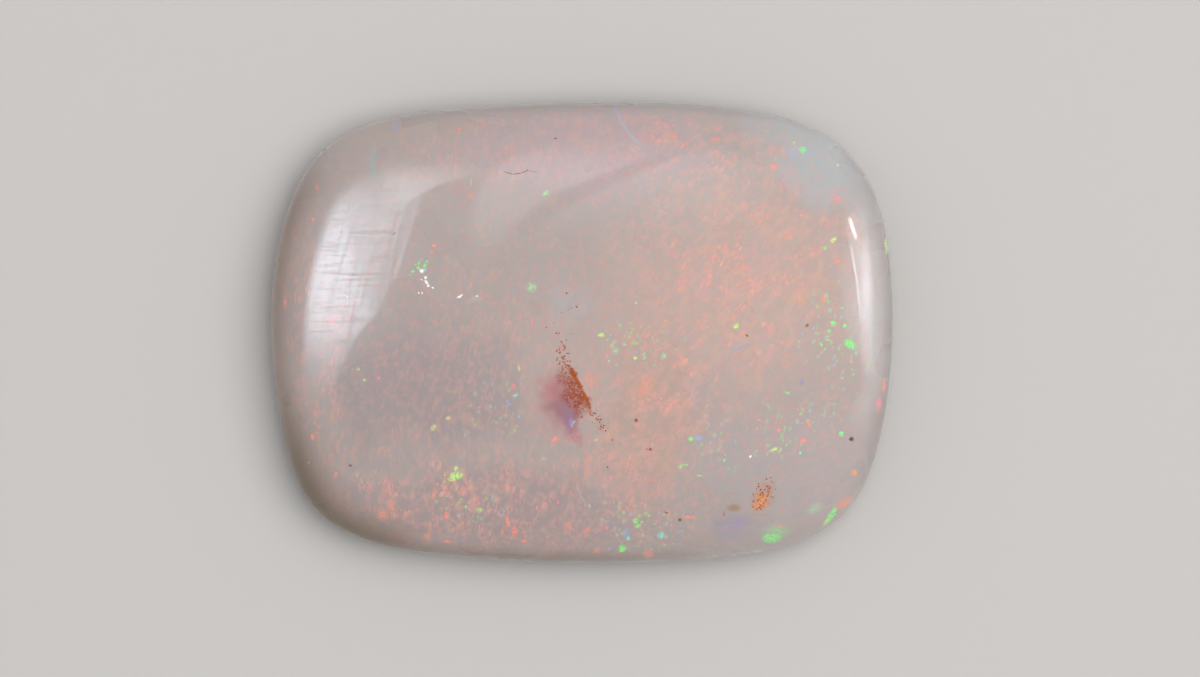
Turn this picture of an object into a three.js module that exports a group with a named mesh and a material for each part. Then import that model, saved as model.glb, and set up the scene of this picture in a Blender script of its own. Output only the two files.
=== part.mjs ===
// A polished light opal cut as a large cushion cabochon, lying on its flat ground back.
// Millimetres, +Z up. The origin is the middle of the footprint, on the plane it rests on.
// +X runs along the stone's length and +Y across it, towards the side with the longest straight.

import * as THREE from "three";

// The girdle, seen from above, is ground to eight sides that were then rounded into each other.
// Each side faces the direction in degrees and lies this far from the crown's axis.
const GROUND_SIDES = [
  { towards: 11, distance: 13.1 },
  { towards: 67, distance: 12.1 },
  { towards: 93, distance: 9.3 },
  { towards: 153, distance: 13.35 },
  { towards: 192, distance: 12.75 },
  { towards: 261, distance: 10.05 },
  { towards: 278, distance: 10.05 },
  { towards: 340, distance: 13.25 },
];

// How sharply one side turns into the next. More is sharper.
const SIDE_SHARPNESS = 7.4;

const THICKNESS = 5.7;

// The girdle is the widest line. Below it the edge turns in to the flat back.
const GIRDLE_HEIGHT = 1.45;
const BACK_INSET = 0.95;
const EDGE_ROUNDNESS = 2.2;

// The crown's section: a full shoulder that flattens towards the top. 2 would be an ellipse.
const SHOULDER_FULLNESS = 2.4;
const TOP_FULLNESS = 2;

// The shoulder is as wide on every side as it would be on a round stone of this radius.
const SHOULDER_RADIUS = 11;

// Towards the top the crown's level lines turn from the girdle's shape to an ellipse of this shape.
const CROWN_LENGTH = 25;
const CROWN_WIDTH = 18.5;
const CORNER_EASE = 3;

const CROWN_RINGS = 16;
const EDGE_RINGS = 5;
const SEGMENTS = 96;

// Distance from the crown's axis to the girdle, in the direction of the angle.
function girdleRadius(angle) {
  let nearness = 0;
  for (const { towards, distance } of GROUND_SIDES) {
    const facing = Math.cos(angle - THREE.MathUtils.degToRad(towards));
    nearness += (Math.max(facing, 0) / distance) ** SIDE_SHARPNESS;
  }
  return nearness ** (-1 / SIDE_SHARPNESS);
}

// Half of the stone's section, from the middle of the back round the girdle to the top.
// x is the share of the way out to the girdle, and y is the height.
function halfSection() {
  const points = [new THREE.Vector2(0, 0)];
  for (let ring = 0; ring < EDGE_RINGS; ring++) {
    const turn = (ring / EDGE_RINGS) * (Math.PI / 2);
    const inset = BACK_INSET * (1 - Math.sin(turn) ** (2 / EDGE_ROUNDNESS));
    const height = GIRDLE_HEIGHT * (1 - Math.cos(turn) ** (2 / EDGE_ROUNDNESS));
    points.push(new THREE.Vector2(1 - inset / SHOULDER_RADIUS, height));
  }
  for (let ring = 0; ring < CROWN_RINGS; ring++) {
    const turn = (ring / CROWN_RINGS) * (Math.PI / 2);
    const share = Math.cos(turn) ** (2 / SHOULDER_FULLNESS);
    const rise = Math.sin(turn) ** (2 / TOP_FULLNESS);
    points.push(new THREE.Vector2(share, GIRDLE_HEIGHT + (THICKNESS - GIRDLE_HEIGHT) * rise));
  }
  points.push(new THREE.Vector2(0, THICKNESS));
  return points;
}

function crownRadius(angle) {
  const across = Math.cos(angle) / (CROWN_LENGTH / 2);
  const up = Math.sin(angle) / (CROWN_WIDTH / 2);
  return 1 / Math.hypot(across, up);
}

// Near the girdle every side has the same shoulder, and towards the top the rings shrink evenly.
function ringRadius(share, angle) {
  const easing = 1 - share ** CORNER_EASE;
  const outline = THREE.MathUtils.lerp(girdleRadius(angle), crownRadius(angle), easing);
  const depth = 1 - share;
  const inset = SHOULDER_RADIUS * depth;
  return outline - inset * (1 + depth * (outline / SHOULDER_RADIUS - 1));
}

// A round turned stone, whose rings are then drawn in to the outline of the ground sides.
function cabochonGeometry() {
  const geometry = new THREE.LatheGeometry(halfSection(), SEGMENTS);
  geometry.rotateX(Math.PI / 2);
  const position = geometry.getAttribute("position");
  for (let i = 0; i < position.count; i++) {
    const share = Math.hypot(position.getX(i), position.getY(i));
    const angle = Math.atan2(position.getY(i), position.getX(i));
    const radius = share > 0 ? ringRadius(share, angle) : 0;
    position.setXY(i, radius * Math.cos(angle), radius * Math.sin(angle));
  }
  geometry.center();
  geometry.translate(0, 0, THICKNESS / 2);
  geometry.computeVertexNormals();
  return geometry;
}

// Milky precious opal: pale, faintly pink and highly polished.
function opalMaterial() {
  return new THREE.MeshStandardMaterial({ color: 0xb8aba7, roughness: 0.12, metalness: 0 });
}

const stone = new THREE.Group();
const opal = new THREE.Mesh(cabochonGeometry(), opalMaterial());
opal.name = "opal";
stone.add(opal);

export default stone;
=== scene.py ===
import math

import bmesh
import bpy
from mathutils import Euler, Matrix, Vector, noise
from mathutils.bvhtree import BVHTree


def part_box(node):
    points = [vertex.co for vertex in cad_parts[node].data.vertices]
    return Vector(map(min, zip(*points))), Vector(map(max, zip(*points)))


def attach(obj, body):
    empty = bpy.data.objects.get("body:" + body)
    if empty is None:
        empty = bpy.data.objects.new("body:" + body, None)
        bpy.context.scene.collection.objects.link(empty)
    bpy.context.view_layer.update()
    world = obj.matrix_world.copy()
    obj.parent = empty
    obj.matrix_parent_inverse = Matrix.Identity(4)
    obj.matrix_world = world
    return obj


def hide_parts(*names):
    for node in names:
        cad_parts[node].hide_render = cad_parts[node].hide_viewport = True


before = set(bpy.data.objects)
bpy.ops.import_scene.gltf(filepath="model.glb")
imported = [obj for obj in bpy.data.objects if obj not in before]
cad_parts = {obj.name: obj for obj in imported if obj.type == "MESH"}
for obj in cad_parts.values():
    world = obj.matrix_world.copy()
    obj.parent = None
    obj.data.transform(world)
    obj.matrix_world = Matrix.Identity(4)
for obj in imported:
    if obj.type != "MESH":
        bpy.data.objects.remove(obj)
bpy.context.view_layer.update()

mm = 0.001

# A polished light opal, seen from straight above its crown. All sizes are millimetres
# until the mesh is finished.

# Camera

cameraSetup = {
    "photoWidth": 1200,
    "photoHeight": 677,
    "stoneMiddle": (582, 332.5),  # pixel of the photograph over the middle of the stone
    "pixel": 0.04016,  # what one pixel covers at the height of the girdle
    "distance": 234.0,  # from the lens to the girdle
    "sensor": 36.0,
}


def cameraPlace():
    middleX, middleY = cameraSetup["stoneMiddle"]
    across = (cameraSetup["photoWidth"] / 2 - middleX) * cameraSetup["pixel"]
    up = (middleY - cameraSetup["photoHeight"] / 2) * cameraSetup["pixel"]
    return Vector((across, up, stoneShape["girdleHeight"] + cameraSetup["distance"]))


def makeCamera():
    frameWidth = cameraSetup["photoWidth"] * cameraSetup["pixel"]
    data = bpy.data.cameras.new("photoCamera")
    data.sensor_width = cameraSetup["sensor"]
    data.lens = cameraSetup["sensor"] * cameraSetup["distance"] / frameWidth
    data.clip_start = 0.01
    data.clip_end = 10
    data.dof.use_dof = False
    camera = bpy.data.objects.new("photoCamera", data)
    camera.location = cameraPlace() * mm
    bpy.context.scene.collection.objects.link(camera)
    bpy.context.scene.camera = camera
    return camera


# Stone

stoneShape = {
    # the girdle's eight ground sides: direction in degrees and distance from the crown's axis
    "groundSides": [
        (11, 13.1), (67, 12.1), (93, 9.3), (153, 13.35),
        (192, 12.75), (261, 10.05), (278, 10.05), (340, 13.25),
    ],
    "sideSharpness": 7.4,
    "thickness": 5.7,
    "girdleHeight": 1.45,
    "backInset": 0.95,
    "edgeRoundness": 2.2,
    "shoulderFullness": 2.4,
    "topFullness": 2,
    "shoulderRadius": 11,
    "crownLength": 25,
    "crownWidth": 18.5,
    "cornerEase": 3,
    "segments": 480,
    "backRings": 14,
    "edgeRings": 18,
    "crownRings": 118,
}

# What hand grinding and polishing left on the form.
handWork = {
    "waveLength": 5.5,
    "waveHeight": 0.009,
    "rippleLength": 1.3,
    "rippleHeight": 0.0011,
}


def girdleRadius(angle):
    power = stoneShape["sideSharpness"]
    nearness = 0
    for towards, distance in stoneShape["groundSides"]:
        facing = max(math.cos(angle - math.radians(towards)), 0)
        nearness += (facing / distance) ** power
    return nearness ** (-1 / power)


def crownRadius(angle):
    across = math.cos(angle) / (stoneShape["crownLength"] / 2)
    up = math.sin(angle) / (stoneShape["crownWidth"] / 2)
    return 1 / math.hypot(across, up)


def ringRadius(share, angle, outline, oval):
    # Near the girdle every side has the same shoulder, towards the top the rings turn oval.
    easing = 1 - share ** stoneShape["cornerEase"]
    edge = outline + (oval - outline) * easing
    depth = 1 - share
    shoulder = stoneShape["shoulderRadius"]
    return edge - shoulder * depth * (1 + depth * (edge / shoulder - 1))


def halfSection():
    # From the middle of the back, round the girdle, to the top: share of the way out, height.
    girdle = stoneShape["girdleHeight"]
    rise = stoneShape["thickness"] - girdle
    flatShare = 1 - stoneShape["backInset"] / stoneShape["shoulderRadius"]
    points = []
    for ring in range(stoneShape["backRings"]):
        points.append((flatShare * ring / stoneShape["backRings"], 0))
    for ring in range(stoneShape["edgeRings"]):
        turn = ring / stoneShape["edgeRings"] * math.pi / 2
        power = 2 / stoneShape["edgeRoundness"]
        inset = (1 - flatShare) * (1 - math.sin(turn) ** power)
        points.append((1 - inset, girdle * (1 - math.cos(turn) ** power)))
    for ring in range(stoneShape["crownRings"]):
        turn = ring / stoneShape["crownRings"] * math.pi / 2
        share = math.cos(turn) ** (2 / stoneShape["shoulderFullness"])
        points.append((share, girdle + rise * math.sin(turn) ** (2 / stoneShape["topFullness"])))
    points.append((0, stoneShape["thickness"]))
    return points


def stoneMesh():
    bm = bmesh.new()
    section = [bm.verts.new((share, 0, height)) for share, height in halfSection()]
    edges = [bm.edges.new(pair) for pair in zip(section, section[1:])]
    bmesh.ops.spin(
        bm, geom=section + edges, axis=(0, 0, 1), cent=(0, 0, 0),
        angle=math.tau, steps=stoneShape["segments"], use_merge=True,
    )
    bmesh.ops.remove_doubles(bm, verts=bm.verts, dist=1e-5)
    bmesh.ops.recalc_face_normals(bm, faces=bm.faces)
    outlines = {}
    for vertex in bm.verts:
        share = math.hypot(vertex.co.x, vertex.co.y)
        if share < 1e-6:
            continue
        angle = math.atan2(vertex.co.y, vertex.co.x)
        key = round(angle, 5)
        if key not in outlines:
            outlines[key] = girdleRadius(angle), crownRadius(angle)
        radius = ringRadius(share, angle, *outlines[key])
        vertex.co.x = radius * math.cos(angle)
        vertex.co.y = radius * math.sin(angle)
    wavePolish(bm)
    placeLikeCad(bm)
    return bm


def wavePolish(bm):
    # The crown was polished by hand, so it is very slightly wavy.
    bm.normal_update()
    for vertex in bm.verts:
        if vertex.co.z <= 0.01:
            continue
        wave = noise.noise(vertex.co / handWork["waveLength"]) * handWork["waveHeight"]
        ripple = noise.noise(vertex.co / handWork["rippleLength"]) * handWork["rippleHeight"]
        vertex.co += vertex.normal * (wave + ripple)


def placeLikeCad(bm):
    low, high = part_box("opal")
    for axis in range(2):
        places = [vertex.co[axis] for vertex in bm.verts]
        shift = (low[axis] + high[axis]) / 2 / mm - (min(places) + max(places)) / 2
        for vertex in bm.verts:
            vertex.co[axis] += shift


def makeStone():
    bm = stoneMesh()
    surface = BVHTree.FromBMesh(bm)
    bmesh.ops.scale(bm, vec=(mm, mm, mm), verts=bm.verts)
    for face in bm.faces:
        face.smooth = True
    mesh = bpy.data.meshes.new("polishedOpal")
    bm.to_mesh(mesh)
    bm.free()
    stone = bpy.data.objects.new("polished_opal", mesh)
    bpy.context.scene.collection.objects.link(stone)
    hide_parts("opal")
    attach(stone, "root")
    return stone, surface


# Material

def linear(hexColour):
    # An sRGB hex value as linear red, green, blue and alpha.
    parts = [int(hexColour[i:i + 2], 16) / 255 for i in (0, 2, 4)]
    return [v / 12.92 if v <= 0.04045 else ((v + 0.055) / 1.055) ** 2.4 for v in parts] + [1]


def addNode(tree, kind, sockets, **settings):
    # Adds a node with its settings, and its values and links by socket.
    made = tree.nodes.new(kind)
    for name, value in settings.items():
        setattr(made, name, value)
    for key, value in sockets.items():
        if isinstance(value, bpy.types.NodeSocket):
            tree.links.new(value, made.inputs[key])
        else:
            made.inputs[key].default_value = value
    return made


def onStone(surface, pixel):
    # Where the camera's ray through a pixel of the photograph meets the stone.
    eye = cameraPlace()
    across = (pixel[0] - cameraSetup["photoWidth"] / 2) * cameraSetup["pixel"]
    up = (cameraSetup["photoHeight"] / 2 - pixel[1]) * cameraSetup["pixel"]
    aim = Vector((across, up, -cameraSetup["distance"]))
    hit = surface.ray_cast(eye, aim.normalized())[0]
    return hit or surface.find_nearest(eye + aim)[0]


mixA, mixB, mixResult = 6, 7, 2  # colour sockets of a Mix node

# Precious light opal: milky silica gel, cut with a saw, ground on wheels and polished with
# cerium oxide. That gives a clear gloss over a soft white body with small flecks of colour.
opalLook = {
    "bodyColour": "a99f9b",
    "ior": 1.45,
    "scatterDepth": 1.8,
    "scatterWeight": 0.85,
    "scatterTint": (1.0, 0.82, 0.72),
    "broad": (2.8, 1.7),  # how the broad tints wander: size and reach in millimetres
    "ragged": (0.4, 0.3),  # how ragged a stain is
    "fine": (0.1, 0.035),  # how ragged the edge of a fleck is
    "grainSize": 0.09,
    "grainCut": (0.36, 0.56),
    "grainLeft": 0.25,  # what is left of a fleck between the grains
    "hueSize": 1.3,
    "tintDepth": 8,  # how far a tint, a line and a stain reach up and down
    "lineDepth": 0.8,
    "stainDepth": 1.5,
}

# Ovals, here and below, give x and y of their middle in the photograph, half width and half
# height in millimetres, turn in degrees and strength.

# Broad tints of the body, mostly its own colour; two are partly painted light and shade, greyer to the left
# and milkier on the right.
bodyTintsAndPaintedLight = [
    ("988c8e", (425, 385, 5.2, 3.6, 0, 0.6)),  # grey lilac, left of the middle, partly painted shade
    ("b3a2a8", (580, 150, 7.0, 2.2, 0, 0.6)),  # pink along the top
    ("b7a49c", (640, 330, 6.0, 4.2, 0, 0.45)),  # warm middle
    ("bba69d", (755, 285, 6.4, 5.2, 0, 0.7)),  # warm haze on the right
    ("b59b8e", (652, 425, 2.2, 4.2, 0, 0.7)),  # warm tongue below the middle
    ("aab3b7", (820, 155, 4.4, 2.4, -38, 0.75)),  # cool shoulder
    ("a9a9a9", (690, 115, 4.5, 0.9, -6, 0.5)),  # cool top edge
    ("a9a2a1", (790, 465, 4.6, 3.4, 0, 0.75)),  # cool corner
    ("9e8c8c", (500, 515, 7.5, 2.4, 0, 0.6)),  # mauve foot
    ("9c96a3", (735, 528, 1.2, 0.5, 0, 0.6)),  # blue foot
    ("bebbba", (876, 300, 1.3, 6.5, -3, 0.75)),  # milky right side, partly painted light
    ("aaa8aa", (566, 305, 0.75, 1.1, 0, 0.6)),  # veil over the rust dots
    ("a9afab", (472, 306, 0.32, 0.16, 30, 0.7)),  # pale mist
]

# The ground edge is darker towards the girdle: painted shade of the steep edge, with some of the stone's
# own tan in it to the left and below, and a dark line of painted shade in the turn of the girdle. The
# second value is the band of heights in which the tint comes in.
edgeTanAndPaintedShade = [
    ("7a614b", (3.5, 2.1), (290, 330, 2.8, 9.0, 0, 0.75)),  # tan left side, partly painted shade
    ("665439", (3.9, 2.1), (335, 500, 4.8, 3.8, -38, 0.9)),  # tan corner, partly painted shade
    ("6e5b46", (3.2, 2.0), (500, 553, 9.0, 1.8, 0, 0.8)),  # tan foot, partly painted shade
    ("8a8482", (3.4, 1.8), (880, 330, 2.2, 9.0, 0, 0.8)),  # grey right side, painted shade
    ("8e8886", (3.2, 1.8), (560, 108, 11.0, 1.4, 0, 0.75)),  # grey top, painted shade
    ("38270f", (2.4, 1.6), (380, 470, 8.5, 6.5, 0, 0.85)),  # painted shade, a dark line in the turn of the girdle
]

# Play of colour. Silica spheres stacked in order split the light, so each small domain shows
# one pure colour. Here each keeps the colour that it has from straight above. The fields say
# where it lies thickest: to the right the domains slant, elsewhere they stand upright.
playFields = {
    "slanting": [
        (742, 270, 6.4, 5.6, 20, 1.0),  # haze
        (665, 405, 3.6, 5.0, -25, 0.9),  # foot of the haze
        (700, 150, 6.4, 1.8, -3, 0.8),  # top edge
        (800, 430, 3.6, 2.6, 0, 0.4),  # low on the right
    ],
    "upright": [
        (500, 145, 6.6, 2.4, 0, 0.55),  # top left
        (305, 370, 2.0, 8.0, 8, 0.75),  # left side
        (460, 505, 8.5, 3.2, -8, 0.95),  # foot
        (620, 500, 4.0, 2.8, 0, 0.7),  # right part of the foot
        (500, 370, 6.0, 5.0, 0, 0.4),  # middle
    ],
    "everywhere": [
        (582, 332, 24, 20, 0, 1.0),
    ],
    "green": [
        (835, 330, 1.8, 4.2, 0, 1.0),  # right band
        (770, 430, 5.0, 2.0, 12, 1.0),  # low on the right
        (637, 352, 2.2, 0.9, 0, 1.2),  # row in the middle
        (640, 525, 2.2, 1.9, 0, 1.0),  # foot
        (470, 505, 2.8, 1.9, 0, 0.8),  # left part of the foot
        (500, 405, 2.8, 2.4, 0, 0.8),  # left of the stain
        (800, 155, 2.2, 1.4, 0, 0.6),  # top right
        (365, 370, 1.6, 3.0, 0, 0.5),  # left side
    ],
}
warmHues = [(0.0, "dc9b90"), (0.3, "e3a38e"), (0.5, "da9b9a"), (0.75, "dfab93"), (1.0, "da9ea8")]
paleHues = [(0.3, "d2a69b"), (0.5, "d6a890"), (0.7, "cfa2a3")]
mottleHues = [(0.36, "c79a8e"), (0.46, "bf959b"), (0.54, "c8a790"), (0.64, "c29893")]
coolHues = [
    (0.0, "b0d290"), (0.3, "92d585"), (0.5, "9acdb2"), (0.66, "9cc3cc"), (0.82, "a0a4d2"), (1.0, "cdc58e"),
]

# size is along, across and deep in millimetres. cut is where the pattern starts and is full.
# A clustered layer gathers in patches of about the cluster size, and one with cells has flecks.
clusters = {"size": 0.8, "cut": (0.44, 0.62)}
playLayers = [
    {"fields": "everywhere", "turn": 74, "size": (0.34, 0.24, 0.3), "cut": (0.44, 0.68),
     "strength": 0.42, "hues": mottleHues, "hueSize": 0.5},
    {"fields": "slanting", "turn": 50, "size": (0.5, 0.36, 0.4), "cut": (0.4, 0.72),
     "strength": 0.5, "hues": paleHues},
    {"fields": "upright", "turn": 88, "size": (0.55, 0.3, 0.4), "cut": (0.45, 0.75),
     "strength": 0.55, "hues": paleHues},
    {"fields": "slanting", "turn": 52, "size": (0.17, 0.12, 0.14), "cut": (0.5, 0.66),
     "strength": 0.7, "hues": warmHues, "clustered": True},
    {"fields": "upright", "turn": 88, "size": (0.36, 0.08, 0.14), "cut": (0.5, 0.66),
     "strength": 0.85, "hues": warmHues, "clustered": True},
    {"fields": "slanting", "turn": 48, "size": (0.24, 0.15, 0.2), "cut": (0.9, 1.2),
     "strength": 0.9, "hues": warmHues, "clustered": True, "cells": True},
    {"fields": "upright", "turn": 88, "size": (0.3, 0.14, 0.2), "cut": (0.92, 1.26),
     "strength": 0.85, "hues": warmHues, "clustered": True, "cells": True},
    {"fields": "green", "turn": 75, "size": (0.17, 0.12, 0.2), "cut": (1.03, 1.17),
     "strength": 0.62, "hues": coolHues, "cells": True},
]

# A fleck's cell: how much its reach varies, how soft its edge is, and how much more often it is
# chosen where the field is thick.
cellShape = {"spread": 0.3, "edge": (-0.04, 0.2), "choice": 0.3}
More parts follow.
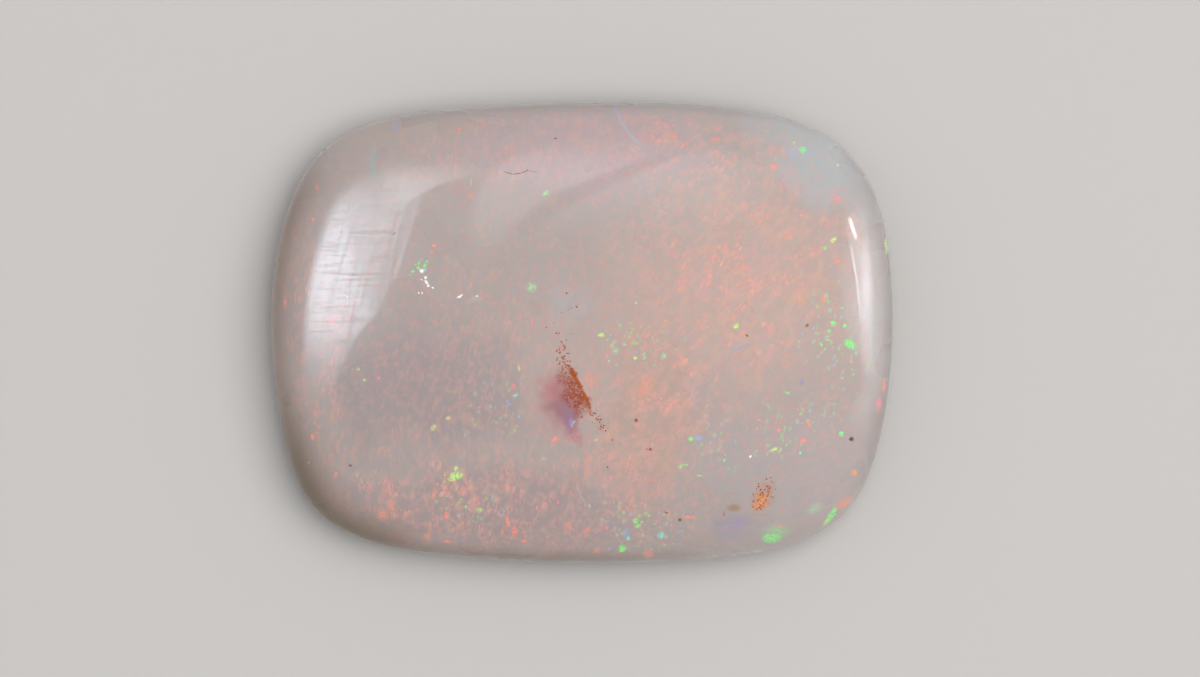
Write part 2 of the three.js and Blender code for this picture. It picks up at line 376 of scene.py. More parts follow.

# Single flecks and marks that stand out, as ovals by colour. The white ones are mostly painted highlights:
# glints of small chips and scratches.
fleckColours = {
    "green": "86ee86", "yellowGreen": "c4ee84", "paleGreen": "a8cfa8", "cyan": "84e0d2", "blue": "9cb2dc",
    "violet": "a08bc8", "yellow": "dccf8e", "red": "f59482", "rose": "ee8f98", "salmon": "e29a84",
    "orange": "f0a36f", "brown": "7c5540", "dark": "40342d", "white": "fbfbf8", "ruby": "9c4440",
    "tan": "a0866c",
}
solidFlecks = ["white", "tan", "brown", "ruby", "dark"]
flecks = {
    "green": [
        (419, 263, 0.06, 0.06, 0, 0.8), (424.5, 265.5, 0.09, 0.07, 0, 0.95),
        (418, 268, 0.08, 0.06, 30, 0.75), (413, 271.5, 0.09, 0.06, 30, 0.6),
        (415.5, 264.5, 0.05, 0.04, 0, 0.6), (427, 261.5, 0.05, 0.05, 0, 0.7),
        (410, 275, 0.05, 0.05, 0, 0.5), (421.5, 259.5, 0.04, 0.04, 0, 0.6),
        (833, 323, 0.11, 0.11, 0, 0.8), (845, 326, 0.08, 0.07, 0, 0.85),
        (841.5, 308, 0.07, 0.06, 0, 0.6), (829, 331, 0.09, 0.08, 0, 0.6), (828, 340, 0.11, 0.05, 0, 0.6),
        (821.6, 344.5, 0.05, 0.1, 20, 0.75), (850, 344.5, 0.3, 0.13, -16, 1.0),
        (684.5, 465, 0.17, 0.035, 6, 0.8), (680.5, 467, 0.05, 0.06, 0, 0.8),
        (787, 392.6, 0.14, 0.035, -35, 0.8), (768.5, 406, 0.04, 0.11, 20, 0.7),
        (841.5, 434, 0.09, 0.11, 0, 0.85), (790, 442, 0.035, 0.07, 0, 0.8),
        (691, 439, 0.1, 0.09, 0, 0.8), (831, 516, 0.12, 0.38, -42, 1.0), (772, 538, 0.4, 0.17, 14, 0.95),
        (777, 532, 0.5, 0.32, 0, 0.35), (622.5, 548.6, 0.15, 0.12, 30, 1.0),
        (636, 521, 0.1, 0.12, 0, 0.9), (638, 526, 0.14, 0.06, 20, 0.8), (649, 516, 0.04, 0.1, -20, 0.7),
        (642, 522, 0.06, 0.06, 0, 0.7), (466, 507, 0.05, 0.06, 0, 0.75),
        (459.8, 502.3, 0.045, 0.04, 0, 0.6), (825, 248, 0.09, 0.08, 0, 0.75),
        (802.6, 149.8, 0.16, 0.15, 0, 0.65), (794, 142.6, 0.06, 0.06, 0, 0.7),
        (546, 193, 0.15, 0.07, 35, 0.75), (609, 361, 0.045, 0.045, 0, 0.7),
    ],
    "yellowGreen": [
        (456.5, 475.5, 0.24, 0.14, 10, 0.95), (452, 479, 0.14, 0.1, 0, 0.9),
        (456, 469, 0.08, 0.13, 0, 0.6), (736, 326, 0.1, 0.11, 0, 0.8), (833.5, 240, 0.15, 0.07, 25, 0.7),
        (601.4, 335, 0.12, 0.08, 10, 0.75), (635, 357.6, 0.07, 0.09, 0, 0.7),
        (635.8, 302.7, 0.06, 0.05, 0, 0.55), (479.5, 509.7, 0.12, 0.1, 0, 0.6),
        (886.5, 246, 0.1, 0.32, 8, 0.9), (699.7, 475.8, 0.1, 0.035, 0, 0.65),
        (774, 449.5, 0.2, 0.06, 22, 0.7), (780.5, 449, 0.05, 0.09, 20, 0.65),
        (358, 369, 0.08, 0.07, 0, 0.6), (364, 380, 0.06, 0.06, 0, 0.6), (826, 522, 0.06, 0.2, -44, 0.7),
        (621, 551, 0.08, 0.05, 0, 0.6), (837.7, 165, 0.045, 0.06, 0, 0.6),
        (595.6, 439.8, 0.08, 0.05, 0, 0.6), (519, 367.8, 0.06, 0.1, 0, 0.7),
    ],
    "paleGreen": [
        (531.8, 287.4, 0.16, 0.2, 0, 0.75), (644, 356, 0.08, 0.16, 0, 0.6),
        (664, 356, 0.1, 0.1, 0, 0.75), (616, 351, 0.12, 0.16, 0, 0.6), (626, 345, 0.09, 0.04, 0, 0.55),
        (544, 459, 0.1, 0.06, 10, 0.6), (589, 506, 0.06, 0.12, 0, 0.55),
        (814.5, 508.7, 0.36, 0.2, 30, 0.45), (357, 474.6, 0.07, 0.06, 0, 0.55),
        (573.3, 423.6, 0.05, 0.13, -25, 0.8),
    ],
    "cyan": [
        (661, 535.5, 0.12, 0.15, 0, 0.85), (628, 538.4, 0.1, 0.09, 0, 0.7),
        (842.7, 377.7, 0.05, 0.05, 0, 0.95), (800.4, 453, 0.05, 0.05, 0, 0.9),
        (458.5, 515.4, 0.05, 0.05, 0, 0.6), (515.3, 395.2, 0.11, 0.07, 30, 0.55),
        (425, 270, 0.1, 0.07, 0, 0.6), (724, 460.5, 0.06, 0.05, 0, 0.6),
    ],
    "blue": [
        (698, 438, 0.16, 0.11, 10, 0.7), (721.3, 424, 0.06, 0.06, 0, 0.6),
        (726, 420.8, 0.08, 0.06, 0, 0.55), (509, 404.6, 0.1, 0.05, 30, 0.6),
        (479, 407.5, 0.05, 0.05, 0, 0.7), (519, 416.5, 0.05, 0.05, 0, 0.8),
        (793, 153.8, 0.22, 0.18, 0, 0.4), (609.6, 548.6, 0.05, 0.05, 0, 0.8),
        (626, 532.6, 0.2, 0.2, 0, 0.4), (424.3, 262, 0.04, 0.05, 0, 0.6),
    ],
    "violet": [
        (571, 422, 0.1, 0.15, 0, 0.8), (801.7, 382, 0.08, 0.07, 0, 0.7),
        (418.7, 523.4, 0.07, 0.07, 0, 0.8), (493.6, 116.1, 0.08, 0.05, 0, 0.7),
        (737, 525, 0.5, 0.25, 20, 0.3),
    ],
    "yellow": [
        (433.6, 427.6, 0.09, 0.17, -35, 0.7), (448.5, 418, 0.11, 0.09, 0, 0.6),
        (444.5, 474.6, 0.04, 0.1, 0, 0.6),
    ],
    "red": [
        (317.2, 186.8, 0.06, 0.13, 0, 0.8), (313.4, 219.3, 0.08, 0.08, 0, 0.8),
        (774, 166, 0.13, 0.13, -25, 0.6), (767.6, 216.8, 0.06, 0.1, 0, 0.8),
        (823.3, 299, 0.1, 0.09, 0, 0.7), (802.5, 440.7, 0.12, 0.11, 0, 0.75),
        (809, 424, 0.08, 0.17, -10, 0.7), (759.4, 420, 0.09, 0.04, 10, 0.8),
        (779.3, 430, 0.13, 0.06, 25, 0.7), (446.4, 514.8, 0.08, 0.13, 0, 0.95),
        (514.6, 531, 0.1, 0.2, 0, 0.95), (507.6, 521, 0.07, 0.26, 0, 0.7),
        (502.5, 531.4, 0.06, 0.17, 0, 0.7), (447.7, 541.6, 0.25, 0.06, 0, 0.7),
        (336, 474.6, 0.06, 0.13, -15, 0.9), (312.5, 436.7, 0.08, 0.16, 0, 0.7),
        (319.4, 426.4, 0.05, 0.12, 0, 0.6), (554.8, 439.5, 0.15, 0.1, 25, 0.75),
        (433.9, 245.5, 0.07, 0.08, 0, 0.75), (432, 252, 0.05, 0.06, 0, 0.8),
        (458.9, 128.6, 0.1, 0.08, 0, 0.65), (587.3, 530, 0.16, 0.11, 30, 0.7),
        (524, 541, 0.18, 0.08, 0, 0.65), (797.5, 410, 0.04, 0.04, 0, 0.6), (285, 303, 0.08, 0.2, 0, 0.6),
        (688, 517, 0.2, 0.07, 0, 0.7), (693, 517, 0.07, 0.08, 0, 0.7), (884, 386, 0.1, 0.4, 4, 0.6),
    ],
    "rose": [
        (330.6, 320.8, 0.07, 0.16, 52, 0.95), (611, 477.8, 0.07, 0.07, 0, 0.9),
        (606.5, 528, 0.06, 0.06, 0, 0.95), (558, 502, 0.06, 0.07, 0, 0.85),
        (513, 386.3, 0.11, 0.11, 0, 0.75), (532, 320.6, 0.035, 0.2, -14, 0.85),
        (425.5, 477.5, 0.045, 0.11, 0, 0.8), (836, 198, 0.26, 0.14, -38, 0.5),
        (378.4, 378, 0.09, 0.07, 0, 0.6), (879, 404, 0.17, 0.3, 4, 0.6),
    ],
    "salmon": [
        (673.5, 136, 0.16, 0.12, 0, 0.6), (715, 139.4, 0.2, 0.12, 0, 0.65),
        (676.7, 160, 0.08, 0.1, 0, 0.6), (667, 166.5, 0.07, 0.12, 0, 0.6),
        (735, 158.6, 0.12, 0.09, 25, 0.6), (837.7, 261.4, 0.2, 0.09, 15, 0.65),
        (758.8, 222, 0.1, 0.08, 0, 0.6), (645, 388, 0.3, 0.7, -15, 0.45),
        (590.5, 379, 0.32, 0.4, 0, 0.45), (586.7, 466, 0.18, 0.5, 0, 0.35),
        (382.5, 514, 0.3, 0.26, 0, 0.55), (391.7, 506, 0.2, 0.3, 0, 0.5),
        (384.8, 491.8, 0.2, 0.25, 0, 0.4), (433.6, 494, 0.13, 0.2, 0, 0.6),
        (568.8, 525.6, 0.16, 0.13, 0, 0.65), (596.9, 549.9, 0.17, 0.13, 0, 0.6),
        (692.8, 504.8, 0.13, 0.08, 20, 0.65), (653.8, 480, 0.13, 0.05, 25, 0.6),
        (844.5, 503, 0.38, 0.2, 40, 0.75), (780, 526, 0.12, 0.11, 0, 0.6),
        (648.4, 554, 0.22, 0.22, 0, 0.7), (426.7, 536.6, 0.18, 0.17, 0, 0.5),
        (471.3, 195.9, 0.16, 0.2, 0, 0.4), (308.5, 463, 0.07, 0.06, 0, 0.6),
        (396.3, 277.4, 0.08, 0.06, 0, 0.7),
    ],
    "orange": [
        (854.3, 472.7, 0.14, 0.12, 20, 0.85), (800, 300, 0.28, 0.35, -20, 0.3),
        (665.7, 321, 0.06, 0.06, 0, 0.6), (761, 502, 0.06, 0.3, -18, 0.6),
    ],
    # Painted highlights: white glints of small chips and scratches.
    "white": [
        (421.8, 271, 0.07, 0.09, 0, 0.95), (425.6, 277.4, 0.06, 0.06, 0, 0.95),
        (421.5, 280, 0.07, 0.025, -30, 0.8), (426.5, 282.5, 0.05, 0.11, 20, 0.95),
        (428, 286, 0.05, 0.045, 0, 0.95), (432.6, 287.6, 0.06, 0.03, -40, 0.8),
        (418.6, 292.7, 0.025, 0.05, 0, 0.85), (421.8, 292.7, 0.03, 0.05, 0, 0.85),
        (459.8, 296.3, 0.13, 0.04, 25, 0.95), (477, 296.3, 0.05, 0.03, 40, 0.7),
        (750.5, 456.6, 0.045, 0.05, 0, 0.95), (347.2, 297.6, 0.05, 0.05, 0, 0.7),
    ],
    "tan": [
        (733.7, 507.9, 0.26, 0.155, 0, 0.95), (724.2, 514, 0.045, 0.12, 0, 0.9),
    ],
    "brown": [
        (747, 335.4, 0.07, 0.035, -20, 0.95), (807.2, 325.5, 0.08, 0.065, 10, 0.85),
        (350.4, 465.4, 0.055, 0.055, 0, 0.85), (607.3, 467.6, 0.04, 0.045, 0, 0.8),
        (680, 519.8, 0.07, 0.08, -30, 0.9), (394.4, 233.5, 0.16, 0.018, 35, 0.6),
    ],
    "ruby": [
        (636.4, 420.4, 0.075, 0.08, 0, 0.95), (650.3, 449.3, 0.07, 0.07, 0, 0.95),
        (647, 449.3, 0.025, 0.03, 0, 0.8), (666.3, 512.5, 0.07, 0.05, 10, 0.8),
    ],
    # Dark specks; the largest is a small pit whose hollow is drawn as painted shade.
    "dark": [
        (555.4, 138.5, 0.055, 0.035, 0, 1.0), (851.4, 439, 0.09, 0.1, -30, 1.0),
        (527.4, 170.4, 0.04, 0.035, 0, 0.9),
    ],
}

# How flecks are drawn: the lengths and leans that they are rounded to, their depth, how far
# they fade beyond their size, and how deep in one its colour is full.
fleckDrawing = {
    "stretches": (1, 1.8, 3.2),
    "leanStep": 30,
    "depth": 0.25,
    "fade": 1.45,
    "full": 0.6,
    "solidFull": 0.75,
}

# Fine lines on and in the stone: colour, half width, strength and the points they run through.
fineLines = [
    ("75604d", 0.02, 0.9, [(504.5, 171.8), (513, 174.3), (521.5, 173), (527.4, 170.6)]),  # lint fibre
    ("8a7565", 0.016, 0.6, [(527.4, 170.4), (538, 172.3)]),  # its end
    ("a6b0bd", 0.06, 0.7, [(615.4, 108), (621, 121), (629, 133.5), (641, 146)]),  # healed crack, top
    ("9a9ccb", 0.055, 0.7, [(615, 107), (618, 114)]),  # its start
    ("9ca7a4", 0.15, 0.6, [(373, 143), (372, 181)]),  # healed crack, left
    ("9b9fb8", 0.12, 0.6, [(393.5, 121), (397, 133)]),  # healed crack, top left
    ("b5abab", 0.035, 0.6, [(785, 306), (788, 320), (794, 341)]),  # healed crack, right
    ("aaa6ab", 0.09, 0.75, [(727, 353), (751, 343)]),  # lens in a crack
    ("b0adb0", 0.035, 0.55, [(576.5, 484), (580, 494), (585, 503)]),  # healed crack, foot
    ("b6a493", 0.06, 0.4, [(640, 400), (647, 425), (656, 448), (665, 474)]),  # healed crack, middle
    ("b7bbbb", 0.03, 0.7, [(470.9, 178), (470.9, 186)]),  # white tick
]
lineFade = 1.3


def opalMaterial(surface):
    material = bpy.data.materials.new("polishedLightOpal")
    material.use_nodes = True
    tree = material.node_tree
    tree.nodes.clear()
    place = addNode(tree, "ShaderNodeTexCoord", {}).outputs["Object"]
    point = addNode(tree, "ShaderNodeVectorMath", {0: place, "Scale": 1 / mm}, operation="SCALE").outputs[0]
    height = addNode(tree, "ShaderNodeSeparateXYZ", {0: point}).outputs["Z"]
    flat = {"point": point, "turned": {}, "oval": ovalGroup(), "fleck": fleckGroup(), "surface": surface}
    broad = wander(tree, place, flat, "broad", 1)
    fine = wander(tree, place, flat, "fine")

    colour = addNode(tree, "ShaderNodeRGB", {}).outputs[0]
    colour.default_value = linear(opalLook["bodyColour"])
    # Some of these tints are partly painted light and shade: greyer to the left, milkier on the right.
    for hexColour, spot in bodyTintsAndPaintedLight:
        colour = addTint(tree, broad, colour, hexColour, spot)

    weights = {}
    for name, spots in playFields.items():
        weights[name] = 0
        for spot in spots:
            weights[name] = addOval(tree, broad, weights[name], spot, opalLook["tintDepth"])
    noises = addNode(tree, "ShaderNodeTexNoise", {
        "Vector": place, "Scale": 1 / (clusters["size"] * mm), "Detail": 1,
    }).outputs["Fac"]
    gathered = addNode(tree, "ShaderNodeMapRange", {
        "Value": noises, "From Min": clusters["cut"][0], "From Max": clusters["cut"][1],
    }, interpolation_type="SMOOTHSTEP").outputs[0]
    grain = addNode(tree, "ShaderNodeTexNoise", {
        "Vector": place, "Scale": 1 / (opalLook["grainSize"] * mm), "Detail": 1,
    }).outputs["Fac"]
    for layer in playLayers:
        weight = weights[layer["fields"]]
        if layer.get("clustered"):
            weight = addNode(tree, "ShaderNodeMath", {
                0: weight, 1: gathered,
            }, operation="MULTIPLY").outputs[0]
        colour = addPlay(tree, place, colour, layer, weight, grain)
    # Painted shade: these tints darken the stone towards the girdle, by height.
    for hexColour, (high, low), spot in edgeTanAndPaintedShade:
        edge = addNode(tree, "ShaderNodeMapRange", {
            "Value": height, "From Min": high, "From Max": low,
        }, interpolation_type="SMOOTHSTEP").outputs[0]
        colour = addTint(tree, broad, colour, hexColour, spot, edge)
    fine["grain"] = addNode(tree, "ShaderNodeMapRange", {
        "Value": grain,
        "From Min": opalLook["grainCut"][0],
        "From Max": opalLook["grainCut"][1],
        "To Min": opalLook["grainLeft"],
    }).outputs[0]
    colour = addStains(tree, place, wander(tree, place, flat, "ragged"), fine, colour)
    colour = addFlecks(tree, fine, colour)
    for line in fineLines:
        colour = addLine(tree, flat, colour, line, opalLook["lineDepth"])

    shoulder = addMask(tree, flat, finish["shoulder"])
    shader = addNode(tree, "ShaderNodeBsdfPrincipled", {
        "Base Color": colour,
        "Roughness": opalRoughness(tree, place, height),
        "IOR": opalLook["ior"],
        "Specular IOR Level": finish["hazeLevel"],
        "Coat Weight": opalCoat(tree, place, shoulder, height),
        "Coat Roughness": finish["polishRoughness"],
        "Coat IOR": opalLook["ior"],
        "Coat Normal": opalRelief(tree, place, height),
        "Subsurface Weight": opalLook["scatterWeight"],
        "Subsurface Radius": opalLook["scatterTint"],
        "Subsurface Scale": opalLook["scatterDepth"] * mm,
    })
    addNode(tree, "ShaderNodeOutputMaterial", {"Surface": shader.outputs[0]})
    return material


def wander(tree, place, flat, kind, detail=0):
    # Points pushed about by noise, so that what is drawn there is irregular.
    size, reach = opalLook[kind]
    pushes = addNode(tree, "ShaderNodeTexNoise", {
        "Vector": place, "Scale": 1 / (size * mm), "Detail": detail,
    })
    push = addNode(tree, "ShaderNodeVectorMath", {
        0: pushes.outputs["Color"], 1: (0.5, 0.5, 0.5),
    }, operation="SUBTRACT")
    pushed = addNode(tree, "ShaderNodeVectorMath", {
        0: push.outputs[0], 1: (reach * 2, reach * 2, reach * 2), 2: flat["point"],
    }, operation="MULTIPLY_ADD").outputs[0]
    return dict(flat, point=pushed, turned={})


def ovalGroup():
    # A group that tells how deep a point is in one oval, or in the ovals before it if that is more.
    group = bpy.data.node_groups.new("ovalDepth", "ShaderNodeTree")
    for name, kind in [("Point", "Vector"), ("Scale", "Vector"), ("Shift", "Vector"),
                       ("Strength", "Float"), ("Others", "Float")]:
        group.interface.new_socket(name, in_out="INPUT", socket_type="NodeSocket" + kind)
    group.interface.new_socket("Depth", in_out="OUTPUT", socket_type="NodeSocketFloat")
    given = addNode(group, "NodeGroupInput", {}).outputs
    away = addNode(group, "ShaderNodeVectorMath", {
        0: given["Point"], 1: given["Scale"], 2: given["Shift"],
    }, operation="MULTIPLY_ADD").outputs[0]
    square = addNode(group, "ShaderNodeVectorMath", {
        0: away, 1: away,
    }, operation="DOT_PRODUCT").outputs["Value"]
    inward = addNode(group, "ShaderNodeMath", {0: 1, 1: square}, operation="SUBTRACT").outputs[0]
    depth = addNode(group, "ShaderNodeMath", {
        0: inward, 1: given["Strength"],
    }, operation="MULTIPLY").outputs[0]
    most = addNode(group, "ShaderNodeMath", {0: depth, 1: given["Others"]}, operation="MAXIMUM").outputs[0]
    addNode(group, "NodeGroupOutput", {"Depth": most})
    return group


def fleckGroup():
    # The same for a round fleck, which fades evenly from its middle.
    group = bpy.data.node_groups.new("fleckDepth", "ShaderNodeTree")
    for name, kind in [("Point", "Vector"), ("Middle", "Vector"), ("Fall", "Float"),
                       ("Strength", "Float"), ("Others", "Float")]:
        group.interface.new_socket(name, in_out="INPUT", socket_type="NodeSocket" + kind)
    group.interface.new_socket("Depth", in_out="OUTPUT", socket_type="NodeSocketFloat")
    given = addNode(group, "NodeGroupInput", {}).outputs
    away = addNode(group, "ShaderNodeVectorMath", {
        0: given["Point"], 1: given["Middle"],
    }, operation="DISTANCE").outputs["Value"]
    depth = addNode(group, "ShaderNodeMath", {
        0: away, 1: given["Fall"], 2: given["Strength"],
    }, operation="MULTIPLY_ADD").outputs[0]
    most = addNode(group, "ShaderNodeMath", {0: depth, 1: given["Others"]}, operation="MAXIMUM").outputs[0]
    addNode(group, "NodeGroupOutput", {"Depth": most})
    return group


def addOval(tree, space, others, spot, depth):
    # Adds one oval to the others. depth is how far it reaches up and down, in millimetres.
    x, y, across, up, turn, strength = spot
    if turn not in space["turned"]:
        space["turned"][turn] = addNode(tree, "ShaderNodeVectorRotate", {
            "Vector": space["point"], "Angle": math.radians(-turn),
        }, rotation_type="Z_AXIS").outputs[0]
    middle = onStone(space["surface"], (x, y))
    middle.rotate(Euler((0, 0, math.radians(-turn))))
    scale = Vector((1 / across, 1 / up, 1 / depth))
    return addNode(tree, "ShaderNodeGroup", {
        "Point": space["turned"][turn],
        "Scale": scale,
        "Shift": middle * -scale,
        "Strength": strength,
        "Others": others,
    }, node_tree=space["oval"]).outputs[0]


def addMask(tree, space, spot):
    # A broad oval that fades out softly.
    *oval, strength = spot
    depth = addOval(tree, space, 0, (*oval, 1), opalLook["tintDepth"])
    return addNode(tree, "ShaderNodeMapRange", {
        "Value": depth,
        "To Max": strength,
    }, interpolation_type="SMOOTHSTEP").outputs[0]


def addTint(tree, space, under, hexColour, spot, share=None):
    # Lays a soft oval of colour over what is under it, or only a share of it.
    amount = addMask(tree, space, spot)
    if share is not None:
        amount = addNode(tree, "ShaderNodeMath", {0: amount, 1: share}, operation="MULTIPLY").outputs[0]
    return addNode(tree, "ShaderNodeMix", {
        0: amount, mixA: under, mixB: linear(hexColour),
    }, data_type="RGBA").outputs[mixResult]


def addLine(tree, space, under, line, depth):
    # A thin line, as a narrow oval over each of its stretches.
    hexColour, half, strength, points = line
    amount = 0
    for start, end in zip(points, points[1:]):
        across, up = end[0] - start[0], start[1] - end[1]
        halfLength = math.hypot(across, up) / 2 * cameraSetup["pixel"]
        amount = addOval(tree, space, amount, (
            (start[0] + end[0]) / 2,
            (start[1] + end[1]) / 2,
            half * lineFade,
            halfLength * 1.4,  # each stretch laps over the next
            round(math.degrees(math.atan2(up, across)) - 90),
            strength * lineFade,
        ), depth)
    return addNode(tree, "ShaderNodeMix", {
        0: amount, mixA: under, mixB: linear(hexColour),
    }, data_type="RGBA").outputs[mixResult]


def addFlecks(tree, space, under):
    # Each fleck is drawn in a frame it shares with others that are as long and lean the same way,
    # because that renders faster. Grain breaks up the coloured ones.
    frames = {}
    colour = under
    for kind, places in flecks.items():
        amount = 0
        for x, y, across, up, turn, strength in places:
            longer = max(across, up) / min(across, up)
            stretch = min(fleckDrawing["stretches"], key=lambda choice: abs(math.log(choice / longer)))
            lean = turn if across >= up else turn + 90
            lean = round(lean / fleckDrawing["leanStep"]) * fleckDrawing["leanStep"] % 180
            lean = lean if stretch > 1 else 0
            squeeze = Vector((1 / stretch, 1, fleckDrawing["depth"]))
            if (lean, stretch) not in frames:
                turned = addNode(tree, "ShaderNodeVectorRotate", {
                    "Vector": space["point"], "Angle": math.radians(-lean),
                }, rotation_type="Z_AXIS").outputs[0]
                frames[lean, stretch] = addNode(tree, "ShaderNodeVectorMath", {
                    0: turned, 1: squeeze,
                }, operation="MULTIPLY").outputs[0]
            middle = onStone(space["surface"], (x, y))
            middle.rotate(Euler((0, 0, math.radians(-lean))))
            half = fleckDrawing["fade"] * math.sqrt(across * up / stretch)
            amount = addNode(tree, "ShaderNodeGroup", {
                "Point": frames[lean, stretch],
                "Middle": middle * squeeze,
                "Fall": -strength / half,
                "Strength": strength,
                "Others": amount,
            }, node_tree=space["fleck"]).outputs[0]
        solid = kind in solidFlecks
        amount = addNode(tree, "ShaderNodeMapRange", {
            "Value": amount, "From Max": fleckDrawing["solidFull" if solid else "full"],
        }, interpolation_type="SMOOTHSTEP").outputs[0]
        if not solid:
            amount = addNode(tree, "ShaderNodeMath", {
                0: amount, 1: space["grain"],
            }, operation="MULTIPLY").outputs[0]
        colour = addNode(tree, "ShaderNodeMix", {
            0: amount, mixA: colour, mixB: linear(fleckColours[kind]),
        }, data_type="RGBA").outputs[mixResult]
    return colour


def addPlay(tree, place, under, layer, weight, grain):
    # One layer of small coloured domains, as thick as the weight says.
    streaks = addNode(tree, "ShaderNodeMapping", {
        "Vector": place,
        "Rotation": (0, 0, math.radians(layer["turn"])),
        "Scale": [size * mm for size in layer["size"]],
    }, vector_type="TEXTURE").outputs[0]
    low, high = layer["cut"]
    if layer.get("cells"):
        cells = addNode(tree, "ShaderNodeTexVoronoi", {"Vector": streaks, "Scale": 1})
        chance = addNode(tree, "ShaderNodeSeparateColor", {0: cells.outputs["Color"]})
        hue = chance.outputs[1]
        reach = addNode(tree, "ShaderNodeMath", {
            0: chance.outputs[2], 1: cellShape["spread"], 2: grain,
        }, operation="MULTIPLY_ADD")
        inside = addNode(tree, "ShaderNodeMath", {
            0: reach.outputs[0], 1: cells.outputs["Distance"],
        }, operation="SUBTRACT").outputs[0]
        shape = addNode(tree, "ShaderNodeMapRange", {
            "Value": inside, "From Min": cellShape["edge"][0], "From Max": cellShape["edge"][1],
        }, interpolation_type="SMOOTHSTEP").outputs[0]
        chosen = addNode(tree, "ShaderNodeMath", {
            0: weight, 1: cellShape["choice"], 2: chance.outputs[0],
        }, operation="MULTIPLY_ADD").outputs[0]
        picked = addNode(tree, "ShaderNodeMapRange", {
            "Value": chosen, "From Min": low, "From Max": high,
        }).outputs[0]
        pattern = addNode(tree, "ShaderNodeMath", {0: picked, 1: shape}, operation="MULTIPLY").outputs[0]
    else:
        noises = addNode(tree, "ShaderNodeTexNoise", {
            "Vector": streaks, "Scale": 1, "Detail": 2 if layer.get("clustered") else 1, "Roughness": 0.6,
        })
        hue = addNode(tree, "ShaderNodeTexNoise", {
            "Vector": place, "Scale": 1 / (layer.get("hueSize", opalLook["hueSize"]) * mm), "Detail": 0,
        }).outputs["Fac"]
        pattern = addNode(tree, "ShaderNodeMapRange", {
            "Value": noises.outputs["Fac"], "From Min": low, "From Max": high,
        }, interpolation_type="SMOOTHSTEP").outputs[0]
    masked = addNode(tree, "ShaderNodeMath", {0: pattern, 1: weight}, operation="MULTIPLY").outputs[0]
    amount = addNode(tree, "ShaderNodeMath", {
        0: masked, 1: layer["strength"],
    }, operation="MULTIPLY").outputs[0]
    ramp = addNode(tree, "ShaderNodeValToRGB", {0: hue})
    stops = ramp.color_ramp.elements
    while len(stops) < len(layer["hues"]):
        stops.new(0.5)
    for stop, (position, hexColour) in zip(stops, layer["hues"]):
        stop.position = position
        stop.color = linear(hexColour)
    return addNode(tree, "ShaderNodeMix", {
        0: amount, mixA: under, mixB: ramp.outputs[0],
    }, data_type="RGBA").outputs[mixResult]


# Iron oxide that seeped in along a crack: a rusty line with dots along it and a plum cloud.
# The clouds are laid down in turn, and the grainy ones over the others.
stain = {
    "clouds": [
        ("b39692", (556, 406, 1.45, 1.9, 0, 0.6)),
        ("a67a7c", (562, 404, 1.0, 1.5, 14, 0.75)),
        ("96696f", (566, 409, 0.7, 1.0, 20, 0.6)),
        ("b39480", (763, 497, 0.5, 0.95, -26, 0.6)),
    ],
    "grainyClouds": [
        ("8f7292", (568, 421, 0.55, 0.7, 20, 0.55)),
        ("bd7a76", (550, 390, 0.6, 0.45, -20, 0.5)),
        ("ba7676", (577, 434, 0.4, 0.7, 10, 0.6)),
        ("9a4a3a", (573, 395, 0.5, 1.35, 27, 0.85)),
        ("9a4a20", (577, 390, 0.3, 1.1, 27, 0.95)),
        ("d2905f", (760, 503, 0.36, 0.5, -22, 0.9)),
    ],
    "lines": [
        ("a24c12", 0.11, 1.0, [(570.5, 368), (576, 379)]),
        ("a4531a", 0.075, 1.0, [(575, 377), (582, 390), (590, 407)]),
        ("c4682a", 0.05, 0.8, [(760, 509), (762, 500), (764, 494)]),
    ],
    "dots": [
        (567, 368, 0.36, 1.0, 24, 0.95),
        (575, 396, 0.5, 1.1, 26, 0.8),
        (563, 348, 0.24, 0.7, 12, 0.5),
        (560, 316, 0.7, 1.6, -10, 0.07),
        (599, 422, 0.26, 0.95, 36, 0.9),
        (763, 495, 0.42, 0.9, -26, 1.0),
    ],
    "dotColour": "994618",
    "dotSpacing": 0.1,
    "dotEdge": (0.5, 0.3),
    "dotStrength": 0.9,
}


def addStains(tree, place, ragged, space, under):
    colour = under
    for hexColour, spot in stain["clouds"]:
        colour = addTint(tree, ragged, colour, hexColour, spot)
    for hexColour, spot in stain["grainyClouds"]:
        colour = addTint(tree, ragged, colour, hexColour, spot, space["grain"])
    for line in stain["lines"]:
        colour = addLine(tree, space, colour, line, opalLook["stainDepth"])
    weight = 0
    for spot in stain["dots"]:
        weight = addOval(tree, space, weight, spot, opalLook["stainDepth"])
    dots = addNode(tree, "ShaderNodeTexVoronoi", {
        "Vector": place, "Scale": 1 / (stain["dotSpacing"] * mm),
    })
    chance = addNode(tree, "ShaderNodeSeparateColor", {0: dots.outputs["Color"]}).outputs[0]
    chosen = addNode(tree, "ShaderNodeMath", {0: weight, 1: chance}, operation="GREATER_THAN").outputs[0]
    shape = addNode(tree, "ShaderNodeMapRange", {
        "Value": dots.outputs["Distance"],
        "From Min": stain["dotEdge"][0],
        "From Max": stain["dotEdge"][1],
        "To Max": stain["dotStrength"],
    }, interpolation_type="SMOOTHSTEP").outputs[0]
    amount = addNode(tree, "ShaderNodeMath", {0: chosen, 1: shape}, operation="MULTIPLY").outputs[0]
    return addNode(tree, "ShaderNodeMix", {
        0: amount, mixA: colour, mixB: linear(stain["dotColour"]),
    }, data_type="RGBA").outputs[mixResult]


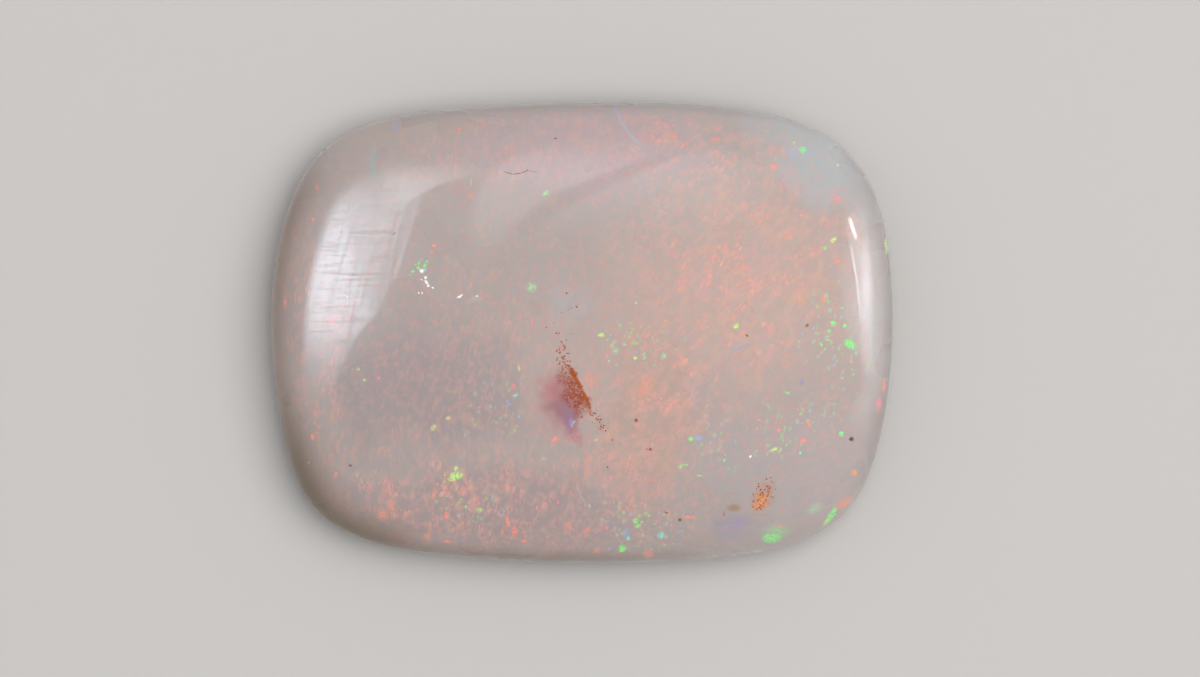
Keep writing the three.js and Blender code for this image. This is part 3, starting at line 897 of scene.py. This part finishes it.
# Gloss and fine relief. Sizes are millimetres, heights are micrometres. The polish is a coat,
# and under it a faint haze, rougher where the stone was handled, at the edge and on the back.
finish = {
    "polishRoughness": 0.055,
    "polishBand": (0.01, 1.0),  # heights between which the polish comes in
    "backGloss": 0.1,
    "hazeLevel": 0.22,
    "hazeRoughness": (0.26, 0.42),
    "smudgeSize": 2.4,
    "smudgeCut": (0.4, 0.7),
    "backRoughness": 0.5,
    "backBand": (0.4, 0),
    "lapBand": (0.05, 0.01),
    "lapLines": {"size": (7.0, 0.1, 1.0), "turn": 24, "height": 1.6},
    "shoulder": (365, 285, 3.4, 6.0, -14, 1.0),
    "wearCut": (0.5, 0.72),
    "wearLines": [
        {"size": (1.8, 0.085, 1.0), "turn": 1, "dulling": 0.5},
        {"size": (2.6, 0.085, 1.0), "turn": 76, "dulling": 0.4},
    ],
}


def opalRoughness(tree, place, height):
    smudges = addNode(tree, "ShaderNodeTexNoise", {
        "Vector": place, "Scale": 1 / (finish["smudgeSize"] * mm), "Detail": 1,
    })
    worn = addNode(tree, "ShaderNodeMapRange", {
        "Value": smudges.outputs["Fac"],
        "From Min": finish["smudgeCut"][0],
        "From Max": finish["smudgeCut"][1],
        "To Min": finish["hazeRoughness"][0],
        "To Max": finish["hazeRoughness"][1],
    }).outputs[0]
    back = addNode(tree, "ShaderNodeMapRange", {
        "Value": height,
        "From Min": finish["backBand"][0],
        "From Max": finish["backBand"][1],
        "To Max": finish["backRoughness"],
    }).outputs[0]
    return addNode(tree, "ShaderNodeMath", {0: worn, 1: back}, operation="MAXIMUM").outputs[0]


def brushed(tree, place, lines):
    # Noise drawn out into fine parallel lines.
    turned = addNode(tree, "ShaderNodeMapping", {
        "Vector": place,
        "Rotation": (0, 0, math.radians(lines["turn"])),
        "Scale": [size * mm for size in lines["size"]],
    }, vector_type="TEXTURE").outputs[0]
    return addNode(tree, "ShaderNodeTexNoise", {"Vector": turned, "Scale": 1, "Detail": 0}).outputs["Fac"]


def opalCoat(tree, place, shoulder, height):
    # How glossy the polish is: hardly on the back, and worn along fine lines on the left shoulder.
    gloss = addNode(tree, "ShaderNodeMapRange", {
        "Value": height,
        "From Min": finish["polishBand"][0],
        "From Max": finish["polishBand"][1],
        "To Min": finish["backGloss"],
    }).outputs[0]
    for wear in finish["wearLines"]:
        worn = addNode(tree, "ShaderNodeMapRange", {
            "Value": brushed(tree, place, wear),
            "From Min": finish["wearCut"][0],
            "From Max": finish["wearCut"][1],
            "To Max": wear["dulling"],
        }).outputs[0]
        lost = addNode(tree, "ShaderNodeMath", {0: worn, 1: shoulder}, operation="MULTIPLY").outputs[0]
        gloss = addNode(tree, "ShaderNodeMath", {0: gloss, 1: lost}, operation="SUBTRACT").outputs[0]
    return gloss


def opalRelief(tree, place, height):
    # Fine lines left on the back by the lap.
    back = addNode(tree, "ShaderNodeMapRange", {
        "Value": height, "From Min": finish["lapBand"][0], "From Max": finish["lapBand"][1],
    }).outputs[0]
    tall = addNode(tree, "ShaderNodeMath", {
        0: brushed(tree, place, finish["lapLines"]), 1: finish["lapLines"]["height"] * 1e-6,
    }, operation="MULTIPLY").outputs[0]
    held = addNode(tree, "ShaderNodeMath", {0: tall, 1: back}, operation="MULTIPLY").outputs[0]
    return addNode(tree, "ShaderNodeBump", {"Height": held, "Strength": 1, "Distance": 1}).outputs[0]


# Floor and lights

studio = {
    "floorColour": "b9b6b3",
    "floorSize": 4.0,
    "fillColour": "eceef2",
    "fillStrength": 0.62,
}

# Each lamp: direction it stands in and height above the horizon in degrees, distance and
# size in millimetres, turn about its own axis, and how bright its face is. The first lights
# the body of the stone, and the others only mirror in the polish.
# Flags cut a lamp's face: each runs from one point to another, the light stays to its left,
# and it fades over the third number, to the share in the fourth or else to nothing. The hot
# spot is brightest, and the face dims away from it.
# Seams are narrow dark lines across the face, each with its half width and the light left.
lamps = [
    {"lamp": "overheadSoftbox", "towards": 15, "above": 70, "distance": 500, "size": (460, 460),
     "radiance": 3.65, "colour": "fffdfb", "mirrors": False},
    {"lamp": "leftSoftbox", "towards": 150, "above": 25, "distance": 300, "size": (540, 520),
     "turn": -30, "radiance": 12.2, "colour": "e9f1ff",
     "flags": [((290, 90), (150, 280), 175), ((110, 216), (-40, 216), 4), ((-40, 216), (-105, 186), 4),
               ((-97, 199), (-185, 83), 4), ((-247, -27), (-100, -65), 160), ((-150, -66), (216, 60), 50),
               ((-44, 200), (-44, 0), 25, 0.68)],
     "seams": [((-84, 189), (-171, 74), 3, 0.5), ((-70, 178), (-157, 63), 2.4, 0.5)],
     "hotSpot": (18, 50), "dimming": (270, 0.72)},
    {"lamp": "leftSoftboxWing", "towards": 150, "above": 25, "distance": 306, "size": (680, 520),
     "turn": -30, "radiance": 3.4, "colour": "f8faff",
     "flags": [((-182, 78), (-310, 8), 5), ((-110, -120), (-110, 120), 60), ((-330, -75), (-100, -75), 110),
               ((-330, 100), (-330, -100), 60)],
     "hotSpot": (-180, 60), "dimming": (220, 0.9)},
    {"lamp": "rightStrip", "towards": 3, "above": 10, "distance": 300, "size": (250, 160),
     "radiance": 7.5, "colour": "f4f5ff",
     "flags": [((68, 76), (-59, 17), 4), ((-100, -54), (100, -54), 5), ((-95, 50), (-95, -50), 70),
               ((118, -50), (118, 50), 30)],
     "hotSpot": (20, 0), "dimming": (52, 0.72)},
    {"lamp": "rightEdge", "towards": 3, "above": 10, "distance": 306, "size": (250, 170),
     "radiance": 9, "colour": "fff2f5",
     "flags": [((76, 82), (-14, 40), 2), ((-14, 30), (76, 72), 2), ((-20, 50), (-20, -50), 30),
               ((76, -50), (76, 80), 10)],
     "hotSpot": (30, 50), "dimming": (90, 0.5)},
    {"lamp": "rightStreak", "towards": 3, "above": 10, "distance": 312, "size": (250, 170),
     "radiance": 15, "colour": "ffffff",
     "flags": [((110, 70), (77, 51), 3), ((74, 28), (106, 46), 3), ((72, 60), (72, 0), 8),
               ((112, 0), (112, 60), 8)],
     "hotSpot": (90, 46), "dimming": (60, 0.3)},
    {"lamp": "topVeilLeft", "towards": 98, "above": 48, "distance": 300, "size": (300, 320),
     "radiance": 2.2, "colour": "f6f8ff",
     "flags": [((0, -69), (64, 133), 8), ((28, 119), (-62, -87), 4)],
     "hotSpot": (0, -10), "dimming": (190, 1.0)},
    {"lamp": "topVeilRight", "towards": 98, "above": 48, "distance": 306, "size": (420, 360),
     "radiance": 1.7, "colour": "f6f8ff",
     "flags": [((-72, -87), (18, 119), 4)],
     "hotSpot": (-60, -20), "dimming": (170, 1.0)},
]


def makeFloor():
    bm = bmesh.new()
    bmesh.ops.create_grid(bm, x_segments=1, y_segments=1, size=studio["floorSize"] / 2)
    mesh = bpy.data.meshes.new("floor")
    bm.to_mesh(mesh)
    bm.free()
    floor = bpy.data.objects.new("floor", mesh)
    bpy.context.scene.collection.objects.link(floor)
    material = bpy.data.materials.new("matteTable")
    material.use_nodes = True
    tree = material.node_tree
    tree.nodes.clear()
    shader = addNode(tree, "ShaderNodeBsdfPrincipled", {
        "Base Color": linear(studio["floorColour"]),
        "Roughness": 0.9,
        "Specular IOR Level": 0.2,
    })
    addNode(tree, "ShaderNodeOutputMaterial", {"Surface": shader.outputs[0]})
    mesh.materials.append(material)


def makeLamp(lamp):
    data = bpy.data.lights.new(lamp["lamp"], "AREA")
    data.shape = "RECTANGLE"
    data.size = lamp["size"][0] * mm
    data.size_y = lamp["size"][1] * mm
    data.energy = lamp["radiance"] * math.pi * data.size * data.size_y
    data.color = linear(lamp["colour"])[:3]
    towards, above = math.radians(lamp["towards"]), math.radians(lamp["above"])
    direction = Vector((
        math.cos(towards) * math.cos(above), math.sin(towards) * math.cos(above), math.sin(above),
    ))
    if "flags" in lamp:
        shapeFace(data, lamp)
    facing = direction.to_track_quat("Z", "Y")
    turned = Euler((0, 0, math.radians(lamp.get("turn", 0)))).to_quaternion()
    light = bpy.data.objects.new(lamp["lamp"], data)
    light.location = direction * lamp["distance"] * mm
    light.rotation_mode = "QUATERNION"
    light.rotation_quaternion = facing @ turned
    light.visible_camera = False
    light.visible_glossy = lamp.get("mirrors", True)
    light.visible_diffuse = not light.visible_glossy
    bpy.context.scene.collection.objects.link(light)


def shapeFace(data, lamp):
    data.use_nodes = True
    tree = data.node_tree
    tree.nodes.clear()
    across, up = lamp["size"]
    place = addNode(tree, "ShaderNodeNewGeometry", {}).outputs["Parametric"]
    point = addNode(tree, "ShaderNodeVectorMath", {
        0: place, 1: (across, up, 0), 2: (-across / 2, -up / 2, 0),
    }, operation="MULTIPLY_ADD").outputs[0]
    hot = addNode(tree, "ShaderNodeVectorMath", {0: point, 1: lamp["hotSpot"] + (0,)}, operation="DISTANCE")
    reach, dimming = lamp["dimming"]
    glow = addNode(tree, "ShaderNodeMapRange", {
        "Value": hot.outputs["Value"], "From Max": reach, "To Min": 1, "To Max": 1 - dimming,
    }, interpolation_type="SMOOTHSTEP").outputs[0]
    for start, end, fade, *leftOver in lamp["flags"]:
        inward = Vector((start[1] - end[1], end[0] - start[0])).normalized()
        depth = addNode(tree, "ShaderNodeVectorMath", {0: point, 1: (*inward, 0)}, operation="DOT_PRODUCT")
        level = inward.dot(Vector(start))
        cut = addNode(tree, "ShaderNodeMapRange", {
            "Value": depth.outputs["Value"], "From Min": level, "From Max": level + fade,
            "To Min": sum(leftOver), "To Max": 1,
        }, interpolation_type="SMOOTHSTEP").outputs[0]
        glow = addNode(tree, "ShaderNodeMath", {0: glow, 1: cut}, operation="MULTIPLY").outputs[0]
    for start, end, half, left in lamp.get("seams", []):
        across = Vector((start[1] - end[1], end[0] - start[0])).normalized()
        depth = addNode(tree, "ShaderNodeVectorMath", {0: point, 1: (*across, 0)}, operation="DOT_PRODUCT")
        away = addNode(tree, "ShaderNodeMath", {
            0: depth.outputs["Value"], 1: across.dot(Vector(start)),
        }, operation="SUBTRACT").outputs[0]
        near = addNode(tree, "ShaderNodeMath", {0: away}, operation="ABSOLUTE").outputs[0]
        shade = addNode(tree, "ShaderNodeMapRange", {
            "Value": near, "From Min": half, "From Max": half * 2, "To Min": left, "To Max": 1,
        }, interpolation_type="SMOOTHSTEP").outputs[0]
        glow = addNode(tree, "ShaderNodeMath", {0: glow, 1: shade}, operation="MULTIPLY").outputs[0]
    emission = addNode(tree, "ShaderNodeEmission", {"Strength": glow})
    addNode(tree, "ShaderNodeOutputLight", {"Surface": emission.outputs[0]})


def makeWorld():
    world = bpy.data.worlds.new("studioFill")
    world.use_nodes = True
    tree = world.node_tree
    tree.nodes.clear()
    fill = addNode(tree, "ShaderNodeBackground", {
        "Color": linear(studio["fillColour"]),
        "Strength": studio["fillStrength"],
    })
    addNode(tree, "ShaderNodeOutputWorld", {"Surface": fill.outputs[0]})
    bpy.context.scene.world = world


makeCamera()
print("camera ready")
stone, surface = makeStone()
print("stone ready:", len(stone.data.polygons), "faces")
stone.data.materials.append(opalMaterial(surface))
print("opal material ready")
makeFloor()
for lamp in lamps:
    makeLamp(lamp)
makeWorld()
bpy.context.scene.view_settings.view_transform = "Standard"
print("floor and lights ready")
